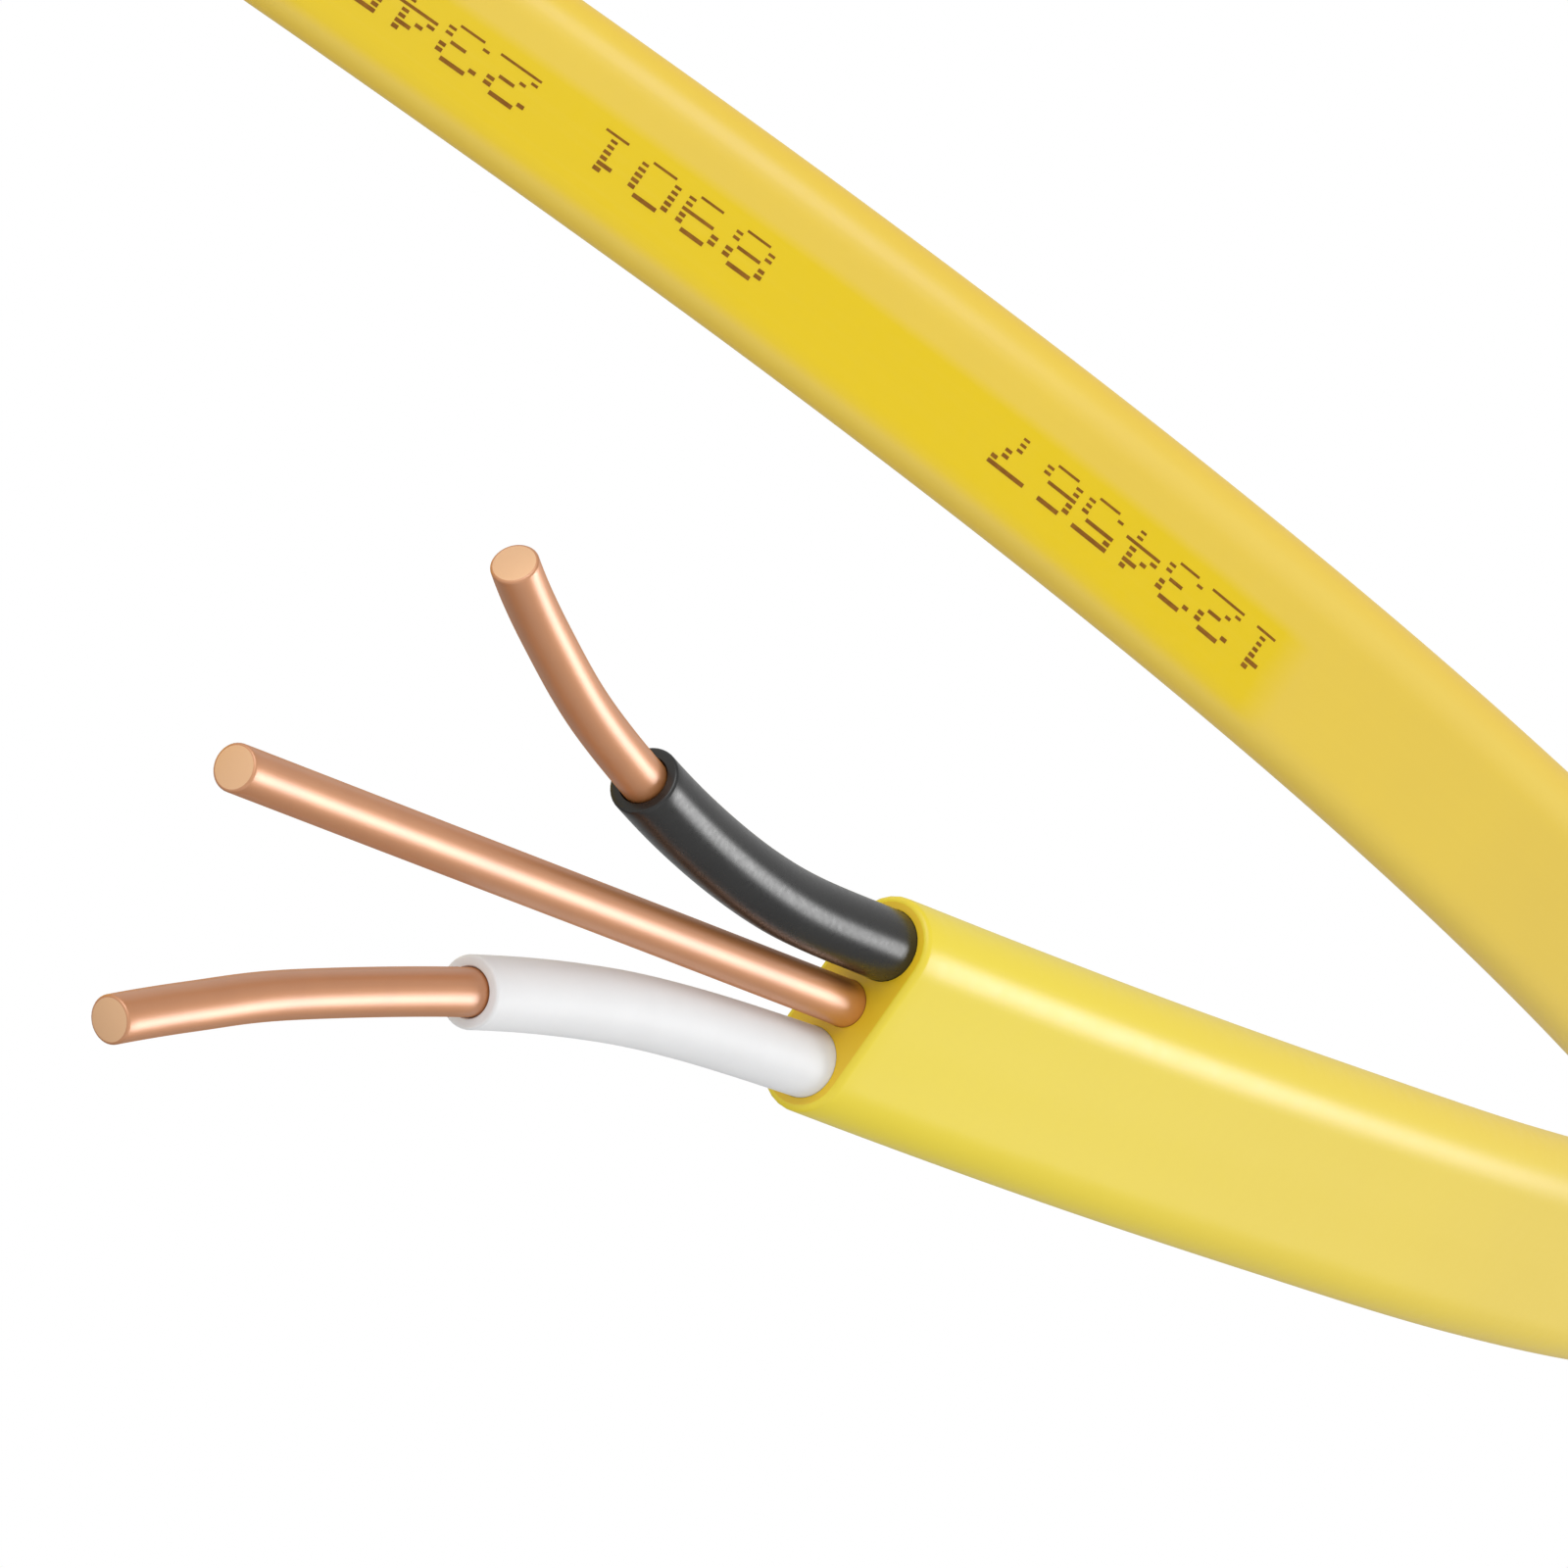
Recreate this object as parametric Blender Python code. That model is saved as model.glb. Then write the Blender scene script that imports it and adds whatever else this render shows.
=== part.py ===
"""A tied coil of flat two-wire-and-ground building cable, lying on a floor.

The wound turns are one turned ring with its bore. The outer end of the cable leaves the
top turn, leans down to the floor in one wide loop, and ends in three stripped wires.
Metres, +Z up. The origin is on the floor under the middle of the footprint.
"""
import math

import bmesh
import bpy
from mathutils import Matrix, Vector

MM = 0.001

# Wires and jacket
COPPER_DIAMETER = 2.05 * MM
INSULATION_WALL = 0.525 * MM
JACKET_WALL = 0.6 * MM
WIRE_GAP = 0.42 * MM
BORE_CLEARANCE = 0.1 * MM
PIECE_GAP = 0.3 * MM

# Wound turns
COIL_BORE_DIAMETER = 176.0 * MM
TURNS_ACROSS = 4
LAYERS = 6
TURN_SLACK = 0.11 * MM
COIL_SEGMENTS = 48
GROOVE_DEPTH_SHARE = 0.62
EDGE_LAND_SHARE = 0.4
SIDE_LAND_SHARE = 0.3

# Ties
TIE_THICKNESS = 1.2 * MM
TIE_WIDTH = 4.8 * MM
TIE_CORNER_RADIUS = 2.6 * MM
CORNER_STEPS = 3
TIE_HEAD_LENGTH = 6.0 * MM
TIE_HEAD_WIDTH = 7.6 * MM
TIE_HEAD_DEPTH = 4.6 * MM
TIE_STUB_LENGTH = 4.0 * MM
TIE_HEAD_TURNS_UP = 1.6
TIE_STUB_DEPTH_SHARE = 0.6
TIE_ANGLES = (35.0, 125.0, 215.0, 305.0)
TIE_ROUND_TAIL = 1

# Where the tail leaves the coil, seen from above, and how far it lies against it
DEPARTURE_POINT = (-96.8 * MM, 92.1 * MM)
DEPARTURE_ANGLE = 112.0
TAIL_HUG_ANGLE = 36.0
HUG_STEPS = 5
TAIL_SEAT_GAP = 0.5 * MM

# The free loop: places from the cut end to the coil, as x, y and rise above the floor
# contact, in millimetres
TAIL_ROUTE = (
    (121.1, -75.2, 6.63), (131.8, -58.3, 5.06), (141.5, -40.9, 3.61), (150.4, -23.0, 2.2),
    (157.8, -4.5, 1.1), (162.8, 14.8, 0.3), (164.8, 34.7, 0), (163.0, 54.6, 0.3),
    (157.3, 73.7, 1.2), (147.5, 91.0, 2.8), (134.2, 105.7, 5), (118.1, 117.2, 7.6),
    (99.9, 124.9, 10.5), (80.5, 128.5, 13.6), (60.7, 128.3, 16.9), (40.9, 125.9, 20.2),
    (21.2, 122.6, 23.4), (1.6, 118.6, 26.2), (-17.9, 114.1, 28.6), (-37.3, 109.2, 30.4),
    (-56.7, 103.9, 31.7),
)
TAIL_LEAN = 10.0
LEAN_START = 300.0 * MM
LEAN_END = 470.0 * MM
TAIL_STEP = 8.0 * MM

# Stripped wires: out of the cut, sideways and up across the cable's width, in millimetres
SOCKET_DEPTH = 8.0 * MM
BLACK_BEND = ((8.0, -0.4, 0.1), (16.0, -1.0, 1.4), (24.0, -1.7, 3.7), (30.0, -2.1, 6.2),
              (34.3, -2.4, 8.4))
BLACK_INSULATION_LENGTH = 19.6 * MM
WHITE_BEND = ((9.0, 0.1, -0.3), (16.0, 0.3, -0.9), (24.0, 0.5, -2.3), (35.0, 1.2, -4.8),
              (41.0, 1.8, -6.5), (45.9, 2.3, -8.1))
WHITE_INSULATION_LENGTH = 23.7 * MM
GROUND_BEND = ((15.0, -0.2, -0.1), (31.0, 0.0, -0.1), (46.2, 0.5, 0.0))
WIRE_STEP = 2.0 * MM
WIRE_SIDES = 12

# Worked out from the values above
INSULATED_DIAMETER = COPPER_DIAMETER + 2 * INSULATION_WALL
WIRE_SPACING = (COPPER_DIAMETER + INSULATED_DIAMETER) / 2 + WIRE_GAP
CABLE_THICKNESS = INSULATED_DIAMETER + 2 * JACKET_WALL
CABLE_WIDTH = 2 * (WIRE_SPACING + INSULATED_DIAMETER / 2 + JACKET_WALL)
EDGE_RADIUS = CABLE_THICKNESS / 2
FLAT_HALF = CABLE_WIDTH / 2 - EDGE_RADIUS
TURN_PITCH = CABLE_WIDTH + TURN_SLACK
LAYER_PITCH = CABLE_THICKNESS + TURN_SLACK
COIL_INNER_RADIUS = COIL_BORE_DIAMETER / 2
COIL_OUTER_RADIUS = COIL_INNER_RADIUS + LAYERS * LAYER_PITCH
COIL_BOTTOM = TIE_THICKNESS + PIECE_GAP
COIL_TOP = COIL_BOTTOM + TURNS_ACROSS * TURN_PITCH
TOP_TURN_HEIGHT = COIL_TOP - TURN_PITCH / 2
HUG_RADIUS = COIL_OUTER_RADIUS + TAIL_SEAT_GAP + EDGE_RADIUS
FLOOR_REST_HEIGHT = FLAT_HALF * math.cos(math.radians(TAIL_LEAN)) + EDGE_RADIUS + PIECE_GAP


def polar(radius, degrees):
    angle = math.radians(degrees)
    return Vector((radius * math.cos(angle), radius * math.sin(angle), 0.0))


COIL_CENTRE = Vector((*DEPARTURE_POINT, 0.0)) - polar(HUG_RADIUS, DEPARTURE_ANGLE)


def clear_scene():
    for obj in list(bpy.data.objects):
        bpy.data.objects.remove(obj, do_unlink=True)


def material(name, colour, roughness, metallic=0.0):
    """A Principled material; colour is linear RGB."""
    made = bpy.data.materials.new(name)
    made.use_nodes = True
    shader = made.node_tree.nodes["Principled BSDF"]
    shader.inputs["Base Color"].default_value = (*colour, 1.0)
    shader.inputs["Roughness"].default_value = roughness
    shader.inputs["Metallic"].default_value = metallic
    return made


def finish_object(name, mesh_data, shader):
    """Turns a bmesh into a smooth-shaded object with outward faces."""
    bmesh.ops.recalc_face_normals(mesh_data, faces=mesh_data.faces)
    mesh = bpy.data.meshes.new(name)
    mesh_data.to_mesh(mesh)
    mesh_data.free()
    mesh.shade_smooth()
    mesh.set_sharp_from_angle(angle=math.radians(35))
    mesh.materials.append(shader)
    obj = bpy.data.objects.new(name, mesh)
    bpy.context.scene.collection.objects.link(obj)
    return obj


def hide_cutter(obj):
    obj.hide_render = True
    obj.display_type = "WIRE"


def boolean(obj, other, operation):
    cut = obj.modifiers.new(operation.title(), "BOOLEAN")
    cut.operation = operation
    cut.object = other
    cut.solver = "EXACT"


def smooth_curve(points, step):
    """Points about one step apart on a smooth curve through the given points."""
    before = 3 * points[0] - 3 * points[1] + points[2]
    after = 3 * points[-1] - 3 * points[-2] + points[-3]
    padded = [before, *points, after]
    curve = []
    for a, b, c, d in zip(padded, padded[1:], padded[2:], padded[3:]):
        pieces = max(1, round((c - b).length / step))
        for index in range(pieces):
            t = index / pieces
            curve.append(0.5 * (2 * b + (c - a) * t + (2 * a - 5 * b + 4 * c - d) * t ** 2
                                + (3 * b - a - 3 * c + d) * t ** 3))
    curve.append(points[-1])
    return curve


def cut_to_length(curve, length):
    """The start of a curve, ended exactly at the given length."""
    kept = [curve[0]]
    for a, b in zip(curve, curve[1:]):
        span = (b - a).length
        if span >= length:
            kept.append(a.lerp(b, length / span))
            return kept
        kept.append(b)
        length -= span
    return kept


def tangents(path, closed=False):
    count = len(path)
    made = []
    for index in range(count):
        ahead = path[(index + 1) % count] if closed else path[min(index + 1, count - 1)]
        behind = path[index - 1] if closed else path[max(index - 1, 0)]
        made.append((ahead - behind).normalized())
    return made


def sweep(name, path, section, ups, shader, closed=False):
    """Sweeps a section, given across the up direction and along it, down a path."""
    shape = bmesh.new()
    rings = []
    for point, tangent, up in zip(path, tangents(path, closed), ups):
        raised = (up - up.dot(tangent) * tangent).normalized()
        across = tangent.cross(raised)
        rings.append([shape.verts.new(point + across * u + raised * v) for u, v in section])
    if closed:
        rings.append(rings[0])
    else:
        shape.faces.new(rings[0])
        shape.faces.new(rings[-1])
    for near, far in zip(rings, rings[1:]):
        for index in range(len(section)):
            following = (index + 1) % len(section)
            shape.faces.new((near[index], near[following], far[following], far[index]))
    return finish_object(name, shape, shader)


def circle_section(radius):
    turns = [2 * math.pi * index / WIRE_SIDES for index in range(WIRE_SIDES)]
    return [(radius * math.cos(turn), radius * math.sin(turn)) for turn in turns]


def obround_section():
    """The jacket's outline: two flat faces joined by full-round edges."""
    outline = []
    for sign in (1, -1):
        for degrees in range(0, 181, 30):
            angle = math.radians(degrees)
            outline.append((sign * EDGE_RADIUS * math.cos(angle),
                            sign * (FLAT_HALF + EDGE_RADIUS * math.sin(angle))))
    return outline


def coil_profile():
    """Half section of the wound turns: radius and height, with a groove between turns."""
    land = EDGE_RADIUS * EDGE_LAND_SHARE
    depth = EDGE_RADIUS * GROOVE_DEPTH_SHARE
    side_land = FLAT_HALF + EDGE_RADIUS * SIDE_LAND_SHARE
    radii = [COIL_INNER_RADIUS + (layer + 0.5) * LAYER_PITCH for layer in range(LAYERS)]
    heights = [COIL_BOTTOM + (turn + 0.5) * TURN_PITCH for turn in range(TURNS_ACROSS)]
    bottom = []
    for radius in radii:
        bottom += [(radius - land, COIL_BOTTOM), (radius + land, COIL_BOTTOM),
                   (radius + LAYER_PITCH / 2, COIL_BOTTOM + depth)]
    top = [(radius, COIL_TOP + COIL_BOTTOM - height) for radius, height in reversed(bottom)]
    outside = []
    for height in heights:
        outside += [(COIL_OUTER_RADIUS, height - side_land),
                    (COIL_OUTER_RADIUS, height + side_land),
                    (COIL_OUTER_RADIUS - depth, height + TURN_PITCH / 2)]
    inside = [(COIL_OUTER_RADIUS + COIL_INNER_RADIUS - radius, height)
              for radius, height in reversed(outside)]
    return bottom[:-1] + outside[:-1] + top[1:] + inside[1:]


def make_coil(shader):
    """Spins the half section once round the coil's axis."""
    shape = bmesh.new()
    corners = [shape.verts.new((radius, 0.0, height)) for radius, height in coil_profile()]
    loop = [shape.edges.new((a, b)) for a, b in zip(corners, corners[1:] + corners[:1])]
    bmesh.ops.spin(shape, geom=corners + loop, cent=(0, 0, 0), axis=(0, 0, 1),
                   angle=2 * math.pi, steps=COIL_SEGMENTS, use_merge=True)
    coil = finish_object("cable_coil", shape, shader)
    coil.location = COIL_CENTRE
    return coil


def tail_route():
    """Places on the tail's centre line, from the cut end to where it lies on the coil."""
    route = [Vector((x * MM, y * MM, FLOOR_REST_HEIGHT + rise * MM))
             for x, y, rise in TAIL_ROUTE]
    axis = COIL_CENTRE + Vector((0, 0, TOP_TURN_HEIGHT))
    for index in range(HUG_STEPS + 1):
        degrees = DEPARTURE_ANGLE + TAIL_HUG_ANGLE * index / HUG_STEPS
        route.append(axis + polar(HUG_RADIUS, degrees))
    return route


def tail_ups(path):
    """The cable's width direction: leaning with the loop, upright against the coil."""
    ups = []
    travelled = 0.0
    for index, point in enumerate(path):
        if index:
            travelled += (point - path[index - 1]).length
        share = (LEAN_END - travelled) / (LEAN_END - LEAN_START)
        lean = math.radians(TAIL_LEAN) * min(1.0, max(0.0, share))
        ups.append(Vector((math.sin(lean), 0.0, math.cos(lean))))
    return ups


def cut_frame(route, up):
    """Axes at the cut end: out of the cable, sideways, and across its width."""
    out = (3 * route[0] - 4 * route[1] + route[2]).normalized()
    raised = (up - up.dot(out) * out).normalized()
    side = raised.cross(out)
    frame = Matrix((out, side, raised)).transposed().to_4x4()
    frame.translation = route[0]
    return frame


def wire_path(frame, height, bend):
    """Centre line of a wire, from inside the jacket to its tip."""
    inside = [Vector((-depth, 0.0, height))
              for depth in (SOCKET_DEPTH - PIECE_GAP, SOCKET_DEPTH / 2, 0.0)]
    outside = [Vector((out * MM, side * MM, height + up * MM)) for out, side, up in bend]
    return smooth_curve([frame @ point for point in inside + outside], WIRE_STEP)


def make_round(name, path, diameter, frame, shader):
    raised = frame.col[2].xyz
    return sweep(name, path, circle_section(diameter / 2), [raised] * len(path), shader)


def make_insulation(name, path, length, frame, shader):
    """A tube of insulation round its wire, open at both ends."""
    tube = make_round(name, cut_to_length(path, SOCKET_DEPTH + length),
                      INSULATED_DIAMETER, frame, shader)
    ends = tangents(path)
    through = [path[0] - ends[0] * PIECE_GAP, *path]
    bore = make_round(name + "_bore", through, COPPER_DIAMETER + 2 * BORE_CLEARANCE,
                      frame, shader)
    hide_cutter(bore)
    boolean(tube, bore, "DIFFERENCE")


def cut_socket(jacket, name, height, diameter, frame, shader):
    """A blind hole in the cut end, for one wire."""
    path = [frame @ Vector((place, 0.0, height)) for place in (-SOCKET_DEPTH, PIECE_GAP * 3)]
    socket = make_round(name, path, diameter + 2 * BORE_CLEARANCE, frame, shader)
    hide_cutter(socket)
    boolean(jacket, socket, "DIFFERENCE")


def rounded_loop(corners, radius):
    """A closed outline with a short arc at each corner."""
    outline = []
    count = len(corners)
    for index, corner in enumerate(corners):
        to_last = (corners[index - 1] - corner).normalized()
        to_next = (corners[(index + 1) % count] - corner).normalized()
        half_turn = to_last.angle(to_next) / 2
        reach = radius / math.tan(half_turn)
        centre = corner + (to_last + to_next).normalized() * (radius / math.sin(half_turn))
        start = corner + to_last * reach - centre
        end = corner + to_next * reach - centre
        for step in range(CORNER_STEPS + 1):
            turned = start.slerp(end, step / CORNER_STEPS)
            outline.append(centre + turned.normalized() * radius)
    return outline


def box(name, size, place, shader):
    shape = bmesh.new()
    bmesh.ops.create_cube(shape, size=1.0)
    bmesh.ops.scale(shape, vec=size, verts=shape.verts)
    bmesh.ops.translate(shape, vec=place, verts=shape.verts)
    return finish_object(name, shape, shader)


def make_tie(number, degrees, round_tail, shader):
    """A strap round the coil's section, with its head on the outer side."""
    reach = PIECE_GAP + TIE_THICKNESS / 2
    inner = COIL_INNER_RADIUS * math.cos(math.pi / COIL_SEGMENTS) - reach
    outer = COIL_OUTER_RADIUS + reach
    low = TIE_THICKNESS / 2
    high = COIL_TOP + reach
    corners = [(inner, low), (outer, low)]
    if round_tail:
        swelling = HUG_RADIUS + EDGE_RADIUS + reach
        tail_low = TOP_TURN_HEIGHT - FLAT_HALF - EDGE_RADIUS
        corners += [(outer, tail_low - 2 * CABLE_THICKNESS), (swelling, tail_low)]
        corners += [(swelling, high)]
    else:
        corners += [(outer, high)]
    corners += [(inner, high)]
    path = rounded_loop([Vector((r, 0.0, z)) for r, z in corners], TIE_CORNER_RADIUS)
    half_thickness = TIE_THICKNESS / 2
    half_width = TIE_WIDTH / 2
    strip = [(-half_width, -half_thickness), (half_width, -half_thickness),
             (half_width, half_thickness), (-half_width, half_thickness)]
    across = Vector((0.0, 1.0, 0.0))
    ups = [tangent.cross(across) for tangent in tangents(path, closed=True)]
    name = f"coil_tie_{number}"
    tie = sweep(name, path, strip, ups, shader, closed=True)
    head_height = COIL_BOTTOM + TURN_PITCH * TIE_HEAD_TURNS_UP
    face = outer - half_thickness + PIECE_GAP / 3
    head = box(name + "_head", (TIE_HEAD_DEPTH, TIE_HEAD_WIDTH, TIE_HEAD_LENGTH),
               (face + TIE_HEAD_DEPTH / 2, 0.0, head_height), shader)
    stub = box(name + "_stub", (TIE_THICKNESS, TIE_WIDTH, TIE_HEAD_LENGTH + TIE_STUB_LENGTH),
               (face + TIE_HEAD_DEPTH * TIE_STUB_DEPTH_SHARE, 0.0,
                head_height - TIE_STUB_LENGTH / 2 - PIECE_GAP), shader)
    boolean(head, stub, "UNION")
    boolean(tie, head, "UNION")
    for piece in (head, stub):
        hide_cutter(piece)
        piece.parent = tie
    tie.location = COIL_CENTRE
    tie.rotation_euler = (0.0, 0.0, math.radians(degrees))


def build():
    clear_scene()
    yellow = material("yellow_jacket", (0.78, 0.62, 0.10), 0.38)
    black = material("black_pvc", (0.035, 0.035, 0.037), 0.42)
    white = material("white_pvc", (0.80, 0.80, 0.82), 0.38)
    copper = material("bare_copper", (0.80, 0.42, 0.25), 0.28, metallic=1.0)
    nylon = material("tie_nylon", (0.72, 0.72, 0.68), 0.45)

    make_coil(yellow)
    route = tail_route()
    path = smooth_curve(route, TAIL_STEP)
    ups = tail_ups(path)
    jacket = sweep("tail_jacket", path, obround_section(), ups, yellow)
    frame = cut_frame(route, ups[0])

    black_path = wire_path(frame, WIRE_SPACING, BLACK_BEND)
    white_path = wire_path(frame, -WIRE_SPACING, WHITE_BEND)
    ground_path = wire_path(frame, 0.0, GROUND_BEND)
    make_round("black_wire_copper", black_path, COPPER_DIAMETER, frame, copper)
    make_round("white_wire_copper", white_path, COPPER_DIAMETER, frame, copper)
    make_round("ground_wire_copper", ground_path, COPPER_DIAMETER, frame, copper)
    make_insulation("black_insulation", black_path, BLACK_INSULATION_LENGTH, frame, black)
    make_insulation("white_insulation", white_path, WHITE_INSULATION_LENGTH, frame, white)

    cut_socket(jacket, "black_socket", WIRE_SPACING, INSULATED_DIAMETER, frame, yellow)
    cut_socket(jacket, "white_socket", -WIRE_SPACING, INSULATED_DIAMETER, frame, yellow)
    cut_socket(jacket, "ground_socket", 0.0, COPPER_DIAMETER, frame, yellow)

    for index, degrees in enumerate(TIE_ANGLES):
        make_tie(index + 1, degrees, index == TIE_ROUND_TAIL, nylon)


build()
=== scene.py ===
"""Looks of the coil of flat building cable: wound turns, jacket, wires, ties, light and view."""

import math
import random

import bmesh
import bpy
from mathutils import Matrix, Vector


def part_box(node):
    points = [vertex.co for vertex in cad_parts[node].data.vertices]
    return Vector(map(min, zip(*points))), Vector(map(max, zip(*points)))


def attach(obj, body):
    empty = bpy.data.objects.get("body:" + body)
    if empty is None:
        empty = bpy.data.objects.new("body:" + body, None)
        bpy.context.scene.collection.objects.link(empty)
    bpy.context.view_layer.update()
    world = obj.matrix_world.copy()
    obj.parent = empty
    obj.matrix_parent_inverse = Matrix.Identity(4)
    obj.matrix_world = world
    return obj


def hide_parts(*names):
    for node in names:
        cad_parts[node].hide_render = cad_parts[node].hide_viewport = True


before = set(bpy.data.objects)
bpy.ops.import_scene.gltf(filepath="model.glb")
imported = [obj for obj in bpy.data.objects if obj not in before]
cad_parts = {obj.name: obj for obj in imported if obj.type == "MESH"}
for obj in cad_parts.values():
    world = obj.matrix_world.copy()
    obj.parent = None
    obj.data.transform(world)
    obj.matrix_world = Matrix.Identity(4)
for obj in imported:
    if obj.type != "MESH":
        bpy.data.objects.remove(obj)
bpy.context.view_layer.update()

MM = 0.001
UP = Vector((0.0, 0.0, 1.0))
RANDOM = random.Random(12)
SHARP_ANGLE = math.radians(40.0)

# Wires and jacket, as in the model
COPPER_DIAMETER = 2.05 * MM
INSULATION_WALL = 0.525 * MM
JACKET_WALL = 0.6 * MM
WIRE_GAP = 0.42 * MM
PIECE_GAP = 0.3 * MM
INSULATED_DIAMETER = COPPER_DIAMETER + 2 * INSULATION_WALL
WIRE_SPACING = (COPPER_DIAMETER + INSULATED_DIAMETER) / 2 + WIRE_GAP
CABLE_THICKNESS = INSULATED_DIAMETER + 2 * JACKET_WALL
CABLE_WIDTH = 2 * (WIRE_SPACING + INSULATED_DIAMETER / 2 + JACKET_WALL)
EDGE_RADIUS = CABLE_THICKNESS / 2
FLAT_HALF = CABLE_WIDTH / 2 - EDGE_RADIUS
WAIST_DEPTH = 0.004 * MM
RIM_RADIUS = 0.28 * MM
RIM_STEPS = 5
TAIL_ARC_STEPS = 14
TAIL_FLAT_STEPS = 22
SOCKET_ROOM = 0.02 * MM
SOCKET_CUTTER_REACH = 1.0 * MM
END_FACE_UV = 0.2
HALF_WAY_ROUND = math.pi * EDGE_RADIUS + 2 * FLAT_HALF
FIRST_EDGE_AROUND = math.pi * EDGE_RADIUS / 2

# Wound turns, measured on the model's ring
COIL_LOW, COIL_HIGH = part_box("cable_coil")
COIL_CENTRE = Vector(((COIL_LOW.x + COIL_HIGH.x) / 2, (COIL_LOW.y + COIL_HIGH.y) / 2, 0.0))
COIL_OUTER_RADIUS = (COIL_HIGH.x - COIL_LOW.x) / 2
COIL_INNER_RADIUS = 88.0 * MM
TURNS_ACROSS = 4
LAYERS = 6
TURN_PITCH = (COIL_HIGH.z - COIL_LOW.z) / TURNS_ACROSS
LAYER_GAP = 0.11 * MM
LAYER_PITCH = CABLE_THICKNESS + LAYER_GAP
TOP_TURN_HEIGHT = COIL_HIGH.z - TURN_PITCH / 2
CROSSING_ANGLE = 30.0
WOUND_STEP = 6.5 * MM
WOUND_OVERLAP = 0.3 * MM
WOUND_ARC_STEPS = 8
WOUND_FLAT_STEPS = 6
INNER_END_DEPTH = 1.0 * MM
INNER_END_COVER_REACH = 0.04 * MM
INNER_END_COPPER_REACH = 0.09 * MM
INNER_END_RIM = 0.03 * MM

# Cable ties, as in the model
TIE_THICKNESS = 1.2 * MM
TIE_WIDTH = 4.8 * MM
TIE_CORNER_RADIUS = 2.6 * MM
TIE_CORNER_STEPS = 8
TIE_EDGE_RADIUS = 0.3 * MM
TIE_EDGE_STEPS = 4
TIE_CHANNEL_DEPTH = 0.16 * MM
TIE_CHANNEL_WIDTH = 3.2 * MM
TIE_HEAD_LENGTH = 6.0 * MM
TIE_HEAD_WIDTH = 7.6 * MM
TIE_HEAD_DEPTH = 4.6 * MM
TIE_HEAD_ROUNDING = 0.7 * MM
TIE_ROUNDING_STEPS = 4
TIE_HEAD_SEAT = PIECE_GAP / 3
TIE_RAMP_HEIGHT = 2 * CABLE_THICKNESS
TIE_SLOT_ROOM = 0.25 * MM
TIE_RIB_PITCH = 2 * math.pi * MM
TIE_STUB_LENGTH = 4.0 * MM
TIE_HEAD_TURNS_UP = 1.6
TIE_STUB_DEPTH_SHARE = 0.6
TIE_ANGLES = (35.0, 125.0, 215.0, 305.0)
TIE_ROUND_TAIL = 1

# The loose end, as in the model
DEPARTURE_POINT = Vector((-96.8 * MM, 92.1 * MM, 0.0))
DEPARTURE_ANGLE = 112.0
TAIL_HUG_ANGLE = 36.0
HUG_STEPS = 5
TAIL_SEAT_GAP = 0.5 * MM
HUG_RADIUS = COIL_OUTER_RADIUS + TAIL_SEAT_GAP + EDGE_RADIUS
TAIL_ROUTE = (
    (121.1, -75.2, 6.63), (131.8, -58.3, 5.06), (141.5, -40.9, 3.61), (150.4, -23.0, 2.2),
    (157.8, -4.5, 1.1), (162.8, 14.8, 0.3), (164.8, 34.7, 0), (163.0, 54.6, 0.3),
    (157.3, 73.7, 1.2), (147.5, 91.0, 2.8), (134.2, 105.7, 5), (118.1, 117.2, 7.6),
    (99.9, 124.9, 10.5), (80.5, 128.5, 13.6), (60.7, 128.3, 16.9), (40.9, 125.9, 20.2),
    (21.2, 122.6, 23.4), (1.6, 118.6, 26.2), (-17.9, 114.1, 28.6), (-37.3, 109.2, 30.4),
    (-56.7, 103.9, 31.7),
)
TAIL_LEAN = 10.0
LEAN_START = 300.0 * MM
LEAN_END = 470.0 * MM
TAIL_STEP = 1.5 * MM
FLOOR_REST_HEIGHT = FLAT_HALF * math.cos(math.radians(TAIL_LEAN)) + EDGE_RADIUS + PIECE_GAP

# Stripped wires: out of the cut, sideways and up across the cable's width, in millimetres
SOCKET_DEPTH = 8.0 * MM
BLACK_BEND = ((8.0, -0.4, 0.1), (16.0, -1.0, 1.4), (24.0, -1.7, 3.7), (30.0, -2.1, 6.2),
              (34.3, -2.4, 8.4))
BLACK_INSULATION_LENGTH = 19.6 * MM
WHITE_BEND = ((9.0, 0.1, -0.3), (16.0, 0.3, -0.9), (24.0, 0.5, -2.3), (35.0, 1.2, -4.8),
              (41.0, 1.8, -6.5), (45.9, 2.3, -8.1))
WHITE_INSULATION_LENGTH = 23.7 * MM
GROUND_BEND = ((15.0, -0.2, -0.1), (31.0, 0.0, -0.1), (46.2, 0.5, 0.0))
WIRE_STEP = 0.5 * MM
WIRE_SIDES = 40
WIRE_RIM_STEPS = 4
WIRE_TIP_RIM = 0.12 * MM
INSULATION_RIM = 0.14 * MM
INSULATION_BORE_ROOM = 0.03 * MM
INSULATION_BORE_DEPTH = 3.0 * MM
BORE_EDGE_WIDTH_SHARE = 0.4
BORE_EDGE_DEPTH_SHARE = 0.5

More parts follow.
